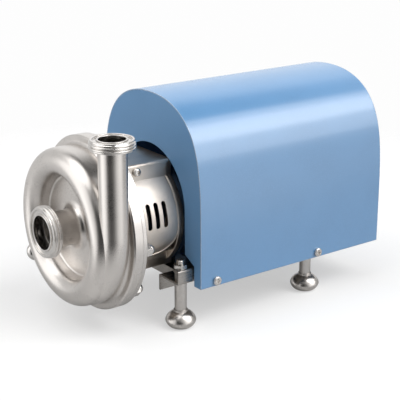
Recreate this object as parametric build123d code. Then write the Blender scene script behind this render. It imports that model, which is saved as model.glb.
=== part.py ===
from build123d import *
import math
import os

# Sanitary centrifugal pump, in millimetres.
# The origin is the centre of the suction mouth, on the shaft line.
# +X runs along the shaft towards the motor and +Z is up.
# The near side is -Y, where the discharge tube stands, and the far side is +Y.

# General
shaft_height = 155.5
clearance = 0.3
running_fit = 0.05
seat = 0.1
over = 1.0
edge_break = 1.0

# Unions with round threads
suction_bore_r = 25.0
suction_thread_r = 38.5
discharge_bore_r = 19.0
discharge_thread_r = 32.5
tube_wall = 1.5
union_length = 17.0
union_neck = 2.4
thread_pitch = 4.2
thread_depth = 1.9
thread_crest = 1.6
thread_flank = 0.6
thread_ridges = 3
mouth_lip = 2.6
mouth_groove_depth = 2.2
mouth_rim = 3.4
mouth_chamfer = 0.8

# Front casing
casing_wall = 4.0
channel_r = 16.5
ring_r = 97.0
ring_x = 45.0
front_x = 56.0
flare_r = 37.5
flare_length = 12.0
flange_x = 74.0
flange_r = 130.7
flange_thickness = 14.7
flange_bevel = 2.0
skirt_fillet = 5.0
dish_fillet = 3.0
discharge_reach = 110.0
discharge_height = 154.0
discharge_sink = 1.0
diffuser_height = 60.0

# Drain plug
drain_angle = 32.0
drain_x = 54.0
drain_stem_r = 6.0
drain_boss_r = 10.0
drain_boss_height = 14.0
drain_neck_height = 9.0
drain_knob_r = 14.5
drain_knob_height = 16.0

# Back plate, casing bolts and shaft seal
plate_thickness = 6.8
plate_spigot = 2.7
plate_boss_r = 40.0
plate_boss_height = 6.0
gasket_width = 3.0
stud_circle_r = 120.0
stud_angles = [6, 43, 90, 137, 174, 270]
stud_r = 5.0
stud_depth = 9.0
dome_nut_flats = 18.0
dome_nut_height = 8.5
dome_nut_shoulder = 0.6
stud_rise = 11.0
seal_bore_r = 21.0
seal_seat_thickness = 7.0
seal_face_r = 19.0
seal_face_thickness = 6.0
seal_spring_thickness = 2.0
seal_spring_sheet = 0.8
seal_spring_rim_step = 1.0

# Impeller and stub shaft
wheel_r = 90.0
wheel_disc = 4.0
wheel_back_gap = 1.5
wheel_front_gap = 2.0
wheel_hub_r = 19.0
wheel_hub_setback = 6.0
wheel_hub_taper = 3.0
wheel_bore_r = 11.0
vane_count = 6
vane_thickness = 4.0
vane_turn = 62.0
vane_turn_middle = 36.0
vane_inner_r = 30.0
wheel_nut_r = 15.0
wheel_nut_length = 17.0
wheel_nut_flank = 6.0
wheel_thread_r = 8.0
stub_r = 14.0
sleeve_r = 17.0
sleeve_x = 138.0
sleeve_gap = 8.0
clamp_ring_r = 30.0
clamp_ring_width = 15.0
clamp_ring_setback = 12.0
clamp_slit = 3.0
clamp_screw_r = 3.0
clamp_head_r = 4.5
clamp_head_height = 5.0

# Lantern and guards
lantern_length = 95.5
lantern_r = 82.2
lantern_plate = 9.0
hump_half_width = 50.0
hump_top = 90.0
hump_edge_r = 4.0
hump_bottom = 73.0
yoke_inner_r = 66.0
bolt_count = 4
bolt_angle = 45.0
plate_screw_circle_r = 52.0
plate_screw_r = 4.0
plate_screw_depth = 5.0
screw_head_r = 6.5
screw_head_height = 7.0
guard_sheet = 1.6
guard_front_gap = 4.5
guard_rear_gap = 9.5
guard_top_lip = 87.5
lowest_angle = -90.0
guard_low_angle = -31.0
guard_low_lip = 17.0
guard_corner_r = 40.0
slot_width = 7.0
slot_pitch = 13.7
slot_first = 31.3
slot_count = 3
slot_low_angle = -0.5
slot_high_angle = 26.3
guard_screw_x = 129.5
guard_screw_z = 80.0
guard_screw_r = 3.0
guard_screw_depth = 9.0
guard_head_height = 5.0
guard_socket_depth = 2.5
guard_hole_slot = 4.0

# Motor
centre_height = 80.0
motor_spigot_r = 47.5
motor_spigot_length = 4.0
motor_bolt_circle_r = 57.5
motor_bolt_r = 4.0
motor_bolt_depth = 7.0
motor_flange_r = 80.0
motor_flange_thickness = 9.0
front_shield_length = 10.0
rear_shield_length = 12.0
shield_spigot = 4.0
frame_length = 182.0
frame_bore_r = 62.0
frame_wall = 6.0
fin_height = 8.0
fin_thickness = 2.4
fin_count = 30
stator_length = 100.0
stator_bore_r = 40.0
winding_length = 20.0
winding_depth = 14.0
air_gap = 0.4
motor_shaft_r = 9.5
shaft_end_length = 40.0
rotor_seat_r = 14.0
bearing_bore_r = 10.0
bearing_outer_r = 23.5
bearing_width = 14.0
bearing_ring = 4.0
bearing_shield = 1.2
bearing_setback = 3.0
fan_seat_r = 8.0
fan_r = 58.0
fan_hub_r = 15.0
fan_width = 16.0
fan_blades = 7
fan_blade_thickness = 2.5
fan_gap = 5.0
cowl_length = 46.0
cowl_overlap = 8.0
cowl_sheet = 1.5
cowl_bevel = 4.0
cowl_slots = 12
cowl_slot_width = 6.0
foot_hole_y = 75.0
foot_hole_pitch = 100.0
foot_pad_length = 34.0
foot_pad_width = 34.0
foot_pad_thickness = 9.0
foot_web_width = 14.0
foot_web_y = 44.0
foot_rib_height = 20.0
foot_bolt_r = 4.0
foot_bolt_flats = 13.0
foot_head_height = 5.3
shim_thickness = 1.5
box_pad_z = 78.0
box_length = 84.0
box_width = 92.0
box_height = 42.0
box_wall = 3.0
box_place = 0.5
box_pad_inset = 6.0
lid_thickness = 5.0
gland_r = 10.0
gland_bore_r = 5.0
gland_length = 22.0
gland_flats = 24.0
gland_hex_length = 6.0

# Base frame and legs
sheet = 3.0
bend_r = 2.0
rail_outer_y = 110.0
rail_front_x = 161.0
rail_height = 21.6
rail_lip = 21.0
rail_lip_notch = 9.0
rail_inner_y = 60.0
rail_drop = 25.0
cross_plate_front_x = 189.0
cross_plate_length = 50.0
cross_plate_edge = 16.0
cross_plate_rear_inset = 12.0
leg_y = 98.0
leg_front_x = 173.4
leg_pitch = 245.0
rail_tail = 34.6
leg_r = 9.0
spindle_r = 6.0
spindle_rise = 13.0
lock_nut_flats = 18.0
lock_nut_height = 6.0
bush_r = 8.5
ball_r = 23.1
ball_height = 24.0
ball_belly = 11.0
ball_neck_r = 10.5
ball_base_r = 14.0
ball_neck_height = 27.5
ball_shoulder = 2.5
ball_low_bulge = 2.2
ball_high_bulge = 2.6

# Cover
hood_front_x = 187.8
hood_length = 358.8
hood_half_width = 129.2
hood_low = 91.2
hood_spring = 83.6
hood_rise = 266.1
hood_side_power = 2.19
hood_crown_power = 5.21
hood_arch_steps = 12
hood_sheet = 1.5
plate_lip = 12.0
opening_r = 89.5
opening_rise = 87.0
opening_centre_z = 17.0
opening_narrow_low = 48.0
opening_wide_top = 60.0
opening_wide_y = 112.5
vent_width = 8.0
vent_pitch = 18.0
vent_count = 9
vent_height = 90.0
bracket_width = 24.0
bracket_setback = 4.0
bracket_inner_drop = 15.0
bracket_outer_drop = 24.0
weld_nut_flats = 10.0
weld_nut_height = 5.0
cover_screw_first = 28.9
cover_screw_pitch = 198.9
cover_screw_drop = 83.0
cover_screw_r = 3.0
cover_screw_length = 16.0
cover_head_r = 7.0
cover_head_height = 4.0
cover_recess_width = 1.6

# Places worked out from the sizes above
casing_outer_r = channel_r + casing_wall
channel_low_r = ring_r - channel_r
channel_high_r = ring_r + channel_r
ring_low_r = ring_r - casing_outer_r
ring_high_r = ring_r + casing_outer_r
seam_x = flange_x + flange_thickness
plate_back_x = seam_x + plate_thickness
plate_front_x = seam_x - plate_spigot
chamber_x = front_x + casing_wall
discharge_tube_r = discharge_bore_r + tube_wall
discharge_x = flange_x + discharge_sink - discharge_tube_r
discharge_rise = discharge_reach - ring_r
drain_boss_top = ring_high_r + drain_boss_height
wheel_back_x = plate_front_x - wheel_back_gap
vane_front_x = chamber_x + wheel_front_gap
wheel_hub_x = vane_front_x + wheel_hub_setback
seal_plane_x = wheel_back_x + seal_spring_thickness + seal_face_thickness
lantern_back_x = plate_back_x + lantern_length
guard_inner_r = lantern_r + seat
guard_outer_r = guard_inner_r + guard_sheet
guard_front_x = plate_back_x + guard_front_gap
guard_back_x = lantern_back_x - guard_rear_gap
frame_front_x = lantern_back_x + front_shield_length
frame_back_x = frame_front_x + frame_length
frame_outer_r = frame_bore_r + frame_wall
fin_tip_r = frame_outer_r + fin_height
stator_x = frame_front_x + (frame_length - stator_length) / 2
shaft_end_x = lantern_back_x - shaft_end_length
front_bearing_x = lantern_back_x + bearing_setback
rear_bearing_x = frame_back_x + rear_shield_length - shield_spigot - bearing_width
fan_x = frame_back_x + rear_shield_length + fan_gap
foot_front_x = frame_front_x + foot_pad_length / 2
foot_rear_x = foot_front_x + foot_hole_pitch
floor_z = -shaft_height
web_top_z = -(centre_height + shim_thickness)
web_low_z = web_top_z - sheet
lip_top_z = web_low_z + rail_height
rail_back_x = leg_front_x + leg_pitch + rail_tail
hood_back_x = hood_front_x + hood_length
cover_screw_x = hood_front_x + cover_screw_first
box_x = frame_front_x + frame_length * box_place - box_length / 2
SIDES = {"near": -1, "far": 1}
LEG_X = {"front": leg_front_x, "rear": leg_front_x + leg_pitch}
BRACKET_X = [cover_screw_x, cover_screw_x + cover_screw_pitch]
FOOT_X = [foot_front_x, foot_rear_x]


def section(*lines):
    """Flat face inside lines that run end to end."""
    return make_face([edge for line in lines for edge in line.edges()])


def outline(*points):
    """Flat face inside straight lines through the points."""
    return section(Polyline(*points, close=True))


def turned(face):
    """Solid turned about the shaft line from an (x, radius) face."""
    return revolve(Plane.XZ * face, Axis.X)


def spun(face):
    """Solid turned about +Z from a (radius, z) face."""
    return revolve(Plane.XZ * face, Axis.Z)


def ring(x0, x1, inner_r, outer_r):
    """Plain ring about the shaft line."""
    return turned(outline((x0, inner_r), (x0, outer_r), (x1, outer_r), (x1, inner_r)))


def rod(x0, x1, r, y=0.0, z=0.0):
    """Round bar along X."""
    return Pos((x0 + x1) / 2, y, z) * Rot(0, 90, 0) * Cylinder(r, x1 - x0)


def post(z0, z1, r, x=0.0, y=0.0):
    """Round bar along Z."""
    return Pos(x, y, (z0 + z1) / 2) * Cylinder(r, z1 - z0)


def cross_rod(y0, y1, r, x, z):
    """Round bar along Y."""
    return Pos(x, (y0 + y1) / 2, z) * Rot(90, 0, 0) * Cylinder(r, y1 - y0)


def block(x0, x1, y0, y1, z0, z1):
    """Rectangular block between two corners."""
    return Pos((x0 + x1) / 2, (y0 + y1) / 2, (z0 + z1) / 2) * Box(x1 - x0, y1 - y0, z1 - z0)


def bar(face, x0, x1):
    """A (y, z) face run along X."""
    return Pos(x0, 0, 0) * extrude(Plane.YZ * face, x1 - x0)


def hexagon(flats):
    return RegularPolygon(flats / 2, 6, major_radius=False)


def around(solid, count, phase=0.0):
    """Copies of a solid turned about the shaft line."""
    return [Rot(phase + i * 360 / count, 0, 0) * solid for i in range(count)]


def cut(solid, tools):
    for tool in tools:
        solid -= tool
    return solid


def on_side(solid, side):
    """A near-side solid, mirrored when it belongs to the far side."""
    return solid if side == "near" else mirror(solid, Plane.XZ)


def on_both_sides(solids):
    return [on_side(solid, side) for solid in solids for side in SIDES]


def rounded(face, corners, r):
    """Rounds the named corners of a flat face."""
    picked = [v for v in face.vertices() if any(math.dist((v.X, v.Y), c) < seat for c in corners)]
    return fillet(picked, r)


def quarter(start, end, bulge):
    """Arc between two points whose middle lies towards the bulge corner, as a fillet's does."""
    share = math.sqrt(0.5)
    middle = [bulge[i] + (1 - share) * (start[i] + end[i] - 2 * bulge[i]) for i in range(2)]
    return ThreePointArc(start, tuple(middle), end)


# Unions

def male_union(bore_r, thread_r):
    """Male end with its mouth up at z = 0: gasket groove in the mouth, round thread ridges, weld neck."""
    root_r = thread_r - thread_depth
    tube_r = bore_r + tube_wall
    groove_r = root_r - mouth_rim
    points = [(bore_r, 0), (bore_r + mouth_lip, 0), (bore_r + mouth_lip, -mouth_groove_depth)]
    points += [(groove_r, -mouth_groove_depth), (groove_r, 0), (root_r - mouth_chamfer, 0)]
    points += [(root_r, -mouth_chamfer)]
    z = -2 * mouth_chamfer
    for _ in range(thread_ridges):
        low = z - 2 * thread_flank - thread_crest
        points += [(root_r, z), (thread_r, z - thread_flank), (thread_r, low + thread_flank), (root_r, low)]
        z -= thread_pitch
    points += [(tube_r, union_neck - union_length), (tube_r, -union_length), (bore_r, -union_length)]
    return spun(outline(*points))


def suction_union():
    return Rot(0, -90, 0) * male_union(suction_bore_r, suction_thread_r)


def discharge_union():
    union = male_union(discharge_bore_r, discharge_thread_r)
    return Pos(discharge_x, -discharge_reach, discharge_height) * union


# Front casing

def channel_lines(r, back_x):
    """Round front and outer wall of the annular channel."""
    low, high = ring_r - r, ring_r + r
    front = ThreePointArc((ring_x, low), (ring_x - r, ring_r), (ring_x, high))
    return [front, Line((ring_x, high), (back_x, high))]


def casing_outside():
    """Outer form about the shaft line: neck, flare, dished front, channel, skirt and flange."""
    neck_r = suction_bore_r + tube_wall
    flare_x = front_x - flare_length
    dish_end = (front_x, ring_low_r - dish_fillet)
    dish_up = (front_x - dish_fillet, ring_low_r)
    skirt_end = (flange_x - skirt_fillet, ring_high_r)
    skirt_up = (flange_x, ring_high_r + skirt_fillet)
    return turned(section(
        Line((union_length, neck_r), (flare_x, neck_r)),
        quarter((flare_x, neck_r), (front_x, flare_r), (front_x, neck_r)),
        Line((front_x, flare_r), dish_end),
        quarter(dish_end, dish_up, (front_x, ring_low_r)),
        Line(dish_up, (ring_x, ring_low_r)),
        *channel_lines(casing_outer_r, skirt_end[0]),
        quarter(skirt_end, skirt_up, (flange_x, ring_high_r)),
        Polyline(
            skirt_up,
            (flange_x, flange_r - flange_bevel),
            (flange_x + flange_bevel, flange_r),
            (seam_x, flange_r),
            (seam_x, 0),
            (union_length, 0),
            (union_length, neck_r),
        ),
    ))


def casing_inside():
    """Wetted space about the shaft line: bore, flare, impeller chamber and annular channel."""
    flare_x = front_x - flare_length
    inner_flare_r = flare_r - casing_wall
    flare_end = (chamber_x, inner_flare_r)
    return turned(section(
        Line((union_length, 0), (union_length, suction_bore_r)),
        Line((union_length, suction_bore_r), (flare_x, suction_bore_r)),
        quarter((flare_x, suction_bore_r), flare_end, (chamber_x, suction_bore_r)),
        Polyline(flare_end, (chamber_x, channel_low_r), (ring_x, channel_low_r)),
        *channel_lines(channel_r, seam_x),
        Polyline((seam_x, channel_high_r), (seam_x, 0), (union_length, 0)),
    ))


def discharge_form(low_r, top_r):
    """Volute arc that leaves the channel at the bottom, and the straight tube that it rises into."""
    start = Plane((discharge_x, 0, -ring_r), x_dir=(1, 0, 0), z_dir=(0, -1, 0)) * Circle(low_r)
    arc = revolve(start, Axis((discharge_x, 0, discharge_rise), (-1, 0, 0)), revolution_arc=90)
    top = discharge_height - union_length
    tube = spun(outline(
        (0, discharge_rise), (low_r, discharge_rise), (top_r, diffuser_height), (top_r, top), (0, top),
    ))
    return arc + Pos(discharge_x, -discharge_reach, 0) * tube


def towards_drain(solid):
    """Turns a piece that stands on +Z to point at the drain, on the far lower side."""
    return Pos(drain_x, 0, 0) * Rot(-(90 + drain_angle), 0, 0) * solid


def volute_casing():
    solid = casing_outside()
    solid += discharge_form(casing_outer_r, discharge_tube_r)
    solid += towards_drain(post(channel_high_r + casing_wall / 2, drain_boss_top, drain_boss_r))
    solid -= casing_inside()
    solid -= discharge_form(channel_r, discharge_bore_r)
    solid -= towards_drain(post(ring_r, drain_boss_top + over, drain_stem_r + seat))
    return cut(solid, stud_rods(seam_x - stud_depth - over, seam_x + over, stud_r + seat))


def drain_plug():
    """Threaded stem with a rounded knob that is turned by hand."""
    start = channel_high_r
    knob_low = drain_boss_top + drain_neck_height
    knob_high = knob_low + drain_knob_height
    neck_r = drain_boss_r - edge_break
    return towards_drain(spun(section(
        Polyline(
            (0, start), (drain_stem_r, start), (drain_stem_r, drain_boss_top + seat),
            (neck_r, drain_boss_top + seat), (neck_r, knob_low),
        ),
        ThreePointArc((neck_r, knob_low), (drain_knob_r, (knob_low + knob_high) / 2), (neck_r, knob_high)),
        Polyline((neck_r, knob_high), (0, knob_high), (0, start)),
    )))


# Back plate, casing bolts and shaft seal

def stud_rods(x0, x1, r):
    return [Rot(angle, 0, 0) * rod(x0, x1, r, y=-stud_circle_r) for angle in stud_angles]


def plate_screw_rods(x0, x1, r):
    return around(rod(x0, x1, r, y=-plate_screw_circle_r), bolt_count, bolt_angle)


def casing_gasket():
    """Seal ring in the corner between the casing bore and the back plate's spigot."""
    outer = channel_high_r - seat
    return ring(plate_front_x, seam_x - seat, outer - gasket_width + seat, outer)


def back_plate():
    spigot_r = channel_high_r - gasket_width - seat
    boss_x = plate_back_x + plate_boss_height
    solid = turned(outline(
        (plate_front_x, seal_bore_r), (plate_front_x, spigot_r), (seam_x, spigot_r), (seam_x, flange_r),
        (plate_back_x - edge_break, flange_r), (plate_back_x, flange_r - edge_break),
        (plate_back_x, plate_boss_r), (boss_x, plate_boss_r), (boss_x, seal_bore_r),
    ))
    solid = cut(solid, stud_rods(seam_x - over, plate_back_x + over, stud_r + clearance))
    depth_x = plate_back_x - plate_screw_depth
    return cut(solid, plate_screw_rods(depth_x, plate_back_x + over, plate_screw_r + seat))


def casing_studs():
    return stud_rods(seam_x - stud_depth, plate_back_x + stud_rise, stud_r)


def dome_nut():
    """Domed nut on the near-side stud, before it is turned round the flange."""
    dome_r = dome_nut_flats / 2 - dome_nut_shoulder
    arc_middle = (math.sqrt(0.5) * dome_r, math.sqrt(0.5) * dome_r)
    dome = spun(section(Line((0, 0), (dome_r, 0)), ThreePointArc((dome_r, 0), arc_middle, (0, dome_r)),
                        Line((0, dome_r), (0, 0))))
    body = extrude(hexagon(dome_nut_flats), dome_nut_height) + Pos(0, 0, dome_nut_height) * dome
    body -= post(-1, stud_rise + seat, stud_r + running_fit)
    return Pos(plate_back_x, -stud_circle_r, 0) * Rot(0, 90, 0) * body


def casing_nuts():
    return [Rot(angle, 0, 0) * dome_nut() for angle in stud_angles]


def seal_stationary_ring():
    return ring(seal_plane_x, seal_plane_x + seal_seat_thickness, stub_r + over, seal_bore_r - seat)


def seal_rotary_ring():
    return ring(seal_plane_x - seal_face_thickness, seal_plane_x - running_fit, stub_r + seat, seal_face_r)


def seal_spring():
    """Conical disc spring between the impeller hub and the rotating seal ring."""
    x0, x1 = wheel_back_x, seal_plane_x - seal_face_thickness
    inner, outer = stub_r + seat, seal_face_r - seal_spring_rim_step
    return turned(outline(
        (x0, inner), (x0 + seal_spring_sheet, inner), (x1, outer - seal_spring_sheet), (x1, outer),
        (x1 - seal_spring_sheet, outer),
    ))


# Impeller and stub shaft

def vane_face():
    """Backward-curved vane seen along the shaft, from the hub to the rim."""
    radii = [vane_inner_r, (vane_inner_r + wheel_r) / 2, wheel_r]
    turns = [0.0, vane_turn_middle, vane_turn]

    def flank(side):
        angles = [math.radians(turn) + side * vane_thickness / 2 / r for turn, r in zip(turns, radii)]
        return [(r * math.cos(a), r * math.sin(a)) for r, a in zip(radii, angles)]

    low, high = flank(-1), flank(1)
    return section(ThreePointArc(*low), Line(low[2], high[2]), ThreePointArc(*high), Line(high[0], low[0]))


def impeller():
    """Half-open wheel: back disc, hub and backward-curved vanes."""
    disc_x = wheel_back_x - wheel_disc
    solid = turned(outline(
        (wheel_hub_x, wheel_bore_r), (wheel_hub_x, wheel_hub_r - wheel_hub_taper), (disc_x - wheel_disc, wheel_hub_r),
        (disc_x, wheel_hub_r + 2 * wheel_disc), (disc_x, wheel_r), (wheel_back_x, wheel_r),
        (wheel_back_x, wheel_bore_r),
    ))
    vane = bar(vane_face(), vane_front_x, disc_x + wheel_disc / 2) & rod(vane_front_x, wheel_back_x, wheel_r)
    for item in around(vane, vane_count):
        solid += item
    return solid


def impeller_nut():
    """Smooth domed nut that holds the impeller on the stub shaft."""
    shoulder_x = wheel_hub_x - wheel_nut_flank
    tip_x = wheel_hub_x - wheel_nut_length
    solid = turned(section(
        Polyline((tip_x, 0), (wheel_hub_x, 0), (wheel_hub_x, wheel_nut_r), (shoulder_x, wheel_nut_r)),
        TangentArc((tip_x, 0), (shoulder_x, wheel_nut_r), tangent=(0, 1)),
    ))
    return solid - rod(shoulder_x - clearance, wheel_hub_x + over, wheel_thread_r + seat)


def pump_shaft():
    """Stub shaft: thread and spigot for the impeller, seal length, sleeve on the motor shaft."""
    shoulder_x = wheel_hub_x - wheel_nut_flank
    spigot_r = wheel_bore_r - seat
    sleeve_end = lantern_back_x - sleeve_gap
    solid = turned(outline(
        (shoulder_x, 0), (shoulder_x, wheel_thread_r), (wheel_hub_x, wheel_thread_r),
        (wheel_hub_x, spigot_r), (wheel_back_x, spigot_r), (wheel_back_x, stub_r),
        (sleeve_x + stub_r - sleeve_r, stub_r), (sleeve_x, sleeve_r), (sleeve_end, sleeve_r), (sleeve_end, 0),
    ))
    return solid - rod(shaft_end_x - over, sleeve_end + over, motor_shaft_r + seat)


def clamp_centre():
    """Middle of the clamp ring along X, and the radius of its screw."""
    x = sleeve_x + clamp_ring_setback + clamp_ring_width / 2
    return x, (sleeve_r + clamp_ring_r) / 2


def shaft_clamp_ring():
    """Slit ring that squeezes the sleeve onto the motor shaft."""
    x, screw_z = clamp_centre()
    x0, x1 = x - clamp_ring_width / 2, x + clamp_ring_width / 2
    solid = ring(x0, x1, sleeve_r + seat, clamp_ring_r)
    solid -= block(x0 - over, x1 + over, -clamp_slit / 2, clamp_slit / 2, 0, clamp_ring_r + over)
    head_y = clamp_screw_seat()
    solid -= cross_rod(-clamp_ring_r, clamp_ring_r, clamp_screw_r + seat, x, screw_z)
    solid -= cross_rod(-clamp_ring_r, -head_y, clamp_head_r + clearance, x, screw_z)
    return solid


def clamp_screw_seat():
    """How far from the slit the clamp screw's head seats."""
    return clamp_ring_r / 3


def clamp_screw():
    x, screw_z = clamp_centre()
    head_y = clamp_screw_seat()
    head = cross_rod(-head_y - clamp_head_height, -head_y, clamp_head_r, x, screw_z)
    return head + cross_rod(-head_y, head_y + clamp_screw_r, clamp_screw_r, x, screw_z)


# Lantern and guards

def lantern_faces():
    """End plate and yoke of the lantern, seen along the shaft."""
    box = outline(
        (-hump_half_width, -hump_bottom), (hump_half_width, -hump_bottom),
        (hump_half_width, hump_top), (-hump_half_width, hump_top),
    )
    box = rounded(box, [(-hump_half_width, hump_top), (hump_half_width, hump_top)], hump_edge_r)
    return Circle(lantern_r) + box, box


def motor_bolt_rods(x0, x1, r):
    return around(rod(x0, x1, r, y=-motor_bolt_circle_r), bolt_count, bolt_angle)


def lantern():
    """Adaptor casting: two end plates joined by a flat-topped yoke above and a second one below."""
    plate, box = lantern_faces()
    front_x, rear_x = plate_back_x + lantern_plate, lantern_back_x - lantern_plate
    floor = web_top_z + clearance
    solid = bar(plate, plate_back_x, front_x) + bar(plate, rear_x, lantern_back_x)
    solid += bar(box, plate_back_x, lantern_back_x) - rod(front_x, rear_x, yoke_inner_r)
    solid -= rod(plate_back_x - over, front_x + over, plate_boss_r + clearance)
    solid -= rod(rear_x - over, lantern_back_x + over, motor_spigot_r + seat)
    solid = cut(solid, plate_screw_rods(plate_back_x - over, front_x + over, plate_screw_r + clearance))
    solid = cut(solid, motor_bolt_rods(rear_x - over, lantern_back_x + over, motor_bolt_r + clearance))
    below = -lantern_r - over
    solid -= block(plate_back_x - over, lantern_back_x + over, -lantern_r, lantern_r, below, floor)
    return cut(solid, on_both_sides(guard_screw_rods(guard_screw_r + seat, guard_screw_depth + over)))


def round_wedge(low_angle, high_angle):
    """Flat wedge on the near side between two angles above the horizontal."""
    reach = 2 * guard_outer_r
    rays = [math.radians(a) for a in (low_angle, high_angle)]
    ends = [(-reach * math.cos(a), reach * math.sin(a)) for a in rays]
    return outline((0, 0), *ends)


def guard_face():
    """Guard seen along the shaft: lip on the yoke's side, rolled wall, turned-in lower edge and low lip."""
    lip_inner = hump_half_width + seat
    lip_outer = lip_inner + guard_sheet
    top_angle = math.degrees(math.acos(lip_inner / guard_inner_r))
    wall = (Circle(guard_outer_r) - Circle(guard_inner_r)) & round_wedge(guard_low_angle, top_angle)
    low = math.radians(guard_low_angle)
    corner_y, corner_z = -guard_outer_r * math.cos(low), guard_outer_r * math.sin(low)
    shelf_z = guard_inner_r * math.sin(low)
    upper_lip_z = math.sqrt(guard_inner_r ** 2 - lip_inner ** 2)
    upper = outline(
        (-lip_outer, upper_lip_z), (-lip_inner, upper_lip_z),
        (-lip_inner, guard_top_lip), (-lip_outer, guard_top_lip),
    )
    lower = outline(
        (-guard_inner_r * math.cos(low), shelf_z), (-lip_inner, shelf_z),
        (-lip_inner, shelf_z - guard_low_lip),
        (-lip_outer, shelf_z - guard_low_lip), (-lip_outer, shelf_z - guard_sheet),
        (corner_y + guard_sheet, shelf_z - guard_sheet), (corner_y, corner_z),
    )
    return wall + upper + lower


def guard_slot(x):
    """Cutter for one ventilation slot with rounded ends."""
    inset = math.degrees(slot_width / 2 / guard_outer_r)
    low, high = slot_low_angle + inset, slot_high_angle - inset
    band = (Circle(guard_outer_r + over) - Circle(guard_inner_r - over)) & round_wedge(low, high)
    tool = bar(band, x - slot_width / 2, x + slot_width / 2)
    end = post(guard_inner_r - over, guard_outer_r + over, slot_width / 2)
    for angle in (low, high):
        tool += Pos(x, 0, 0) * Rot(90 - angle, 0, 0) * end
    return tool


def guard_corner():
    """Cutter that rounds the guard's lower rear corner."""
    angle = guard_low_angle + math.degrees(guard_corner_r / guard_outer_r)
    x = guard_back_x - guard_corner_r
    band = (Circle(guard_outer_r + over) - Circle(guard_inner_r - over)) & round_wedge(lowest_angle, angle)
    band -= Circle(guard_inner_r - over)
    keep = Pos(x, 0, 0) * Rot(90 - angle, 0, 0) * post(0, 2 * guard_outer_r, guard_corner_r)
    return bar(band, x, guard_back_x + over) - keep


def guard_screw_places():
    shelf_z = guard_inner_r * math.sin(math.radians(guard_low_angle))
    return [guard_screw_z, shelf_z - guard_sheet - clearance - screw_head_r]


def guard_screw_rods(r, depth):
    """Screws that enter the yokes from the near side, through the guard's lips."""
    y0 = -(hump_half_width + seat + guard_sheet)
    return [cross_rod(y0 - over, depth - hump_half_width, r, guard_screw_x, z) for z in guard_screw_places()]


def guard():
    solid = bar(guard_face(), guard_front_x, guard_back_x)
    slots = [guard_slot(guard_front_x + slot_first + i * slot_pitch) for i in range(slot_count)]
    solid = cut(solid, slots)
    solid -= guard_corner()
    solid -= lantern_plate_room()
    return cut(solid, guard_screw_slots())


def lantern_plate_room():
    """Room that the lantern's front plate takes inside the guard's wall, below the shaft."""
    room = rod(guard_front_x - over, plate_back_x + lantern_plate + clearance, guard_inner_r)
    return room - block(guard_front_x - over, lantern_back_x, -guard_outer_r, guard_outer_r, 0, guard_outer_r)


def guard_screw_slots():
    """Slotted holes in the guard's lips, so that it hooks in behind its screws."""
    r = guard_screw_r + clearance
    holes = guard_screw_rods(r, 0)
    y0 = -(hump_half_width + seat + guard_sheet) - over
    for z in guard_screw_places():
        end_x = guard_screw_x - guard_hole_slot
        holes.append(block(end_x, guard_screw_x, y0, -hump_half_width, z - r, z + r))
        holes.append(cross_rod(y0, -hump_half_width, r, end_x, z))
    return holes


def guard_screws():
    """Round-headed screws of the guards, with a hexagon socket."""
    face_y = -(hump_half_width + seat + guard_sheet)
    screws = []
    for z in guard_screw_places():
        head = cross_rod(face_y - guard_head_height, face_y, screw_head_r, guard_screw_x, z)
        head = fillet(head.edges().sort_by(Axis.Y)[0], 2 * guard_head_height / 3)
        socket = Pos(guard_screw_x, face_y - guard_head_height, z) * Rot(-90, 0, 0)
        head -= socket * extrude(hexagon(screw_head_r), guard_socket_depth)
        head += cross_rod(face_y, guard_screw_depth - hump_half_width, guard_screw_r, guard_screw_x, z)
        screws.append(head)
    return on_both_sides(screws)


def socket_screws(rods, heads, sockets):
    """Cap screws along X from their shanks, heads and hexagon sockets."""
    return [shank + head - socket for shank, head, socket in zip(rods, heads, sockets)]


def back_plate_screws():
    seat_x = plate_back_x + lantern_plate
    top_x = seat_x + screw_head_height
    socket = bar(Pos(-plate_screw_circle_r, 0) * hexagon(screw_head_r), top_x - plate_screw_r, top_x + over)
    return socket_screws(
        plate_screw_rods(plate_back_x - plate_screw_depth, seat_x, plate_screw_r),
        plate_screw_rods(seat_x, top_x, screw_head_r),
        around(socket, bolt_count, bolt_angle),
    )


def lantern_bolts():
    seat_x = lantern_back_x - lantern_plate
    top_x = seat_x - screw_head_height
    socket = bar(Pos(-motor_bolt_circle_r, 0) * hexagon(screw_head_r), top_x - over, top_x + motor_bolt_r)
    return socket_screws(
        motor_bolt_rods(seat_x, lantern_back_x + motor_bolt_depth, motor_bolt_r),
        motor_bolt_rods(top_x, seat_x, screw_head_r),
        around(socket, bolt_count, bolt_angle),
    )


# Motor

def front_shield():
    """End shield with the mounting flange, its spigot and the front bearing seat."""
    x0, x1 = lantern_back_x, frame_front_x
    bore_r, hub_r = bearing_outer_r + seat, bearing_outer_r + frame_wall
    lip_r = bearing_bore_r + bearing_ring + clearance
    bearing_end = front_bearing_x + bearing_width
    solid = turned(outline(
        (x0 - motor_spigot_length, lip_r), (x0 - motor_spigot_length, motor_spigot_r),
        (x0, motor_spigot_r), (x0, motor_flange_r), (x0 + motor_flange_thickness, motor_flange_r),
        (x1, frame_outer_r), (x1, frame_bore_r - seat), (x1 + shield_spigot, frame_bore_r - seat),
        (x1 + shield_spigot, frame_bore_r - shield_spigot),
        (x0 + motor_flange_thickness, frame_bore_r - 2 * shield_spigot),
        (x0 + motor_flange_thickness, hub_r), (bearing_end, hub_r), (bearing_end, bore_r),
        (front_bearing_x, bore_r), (front_bearing_x, lip_r),
    ))
    return cut(solid, motor_bolt_rods(x0 - over, x0 + motor_bolt_depth + over, motor_bolt_r + seat))


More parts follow.
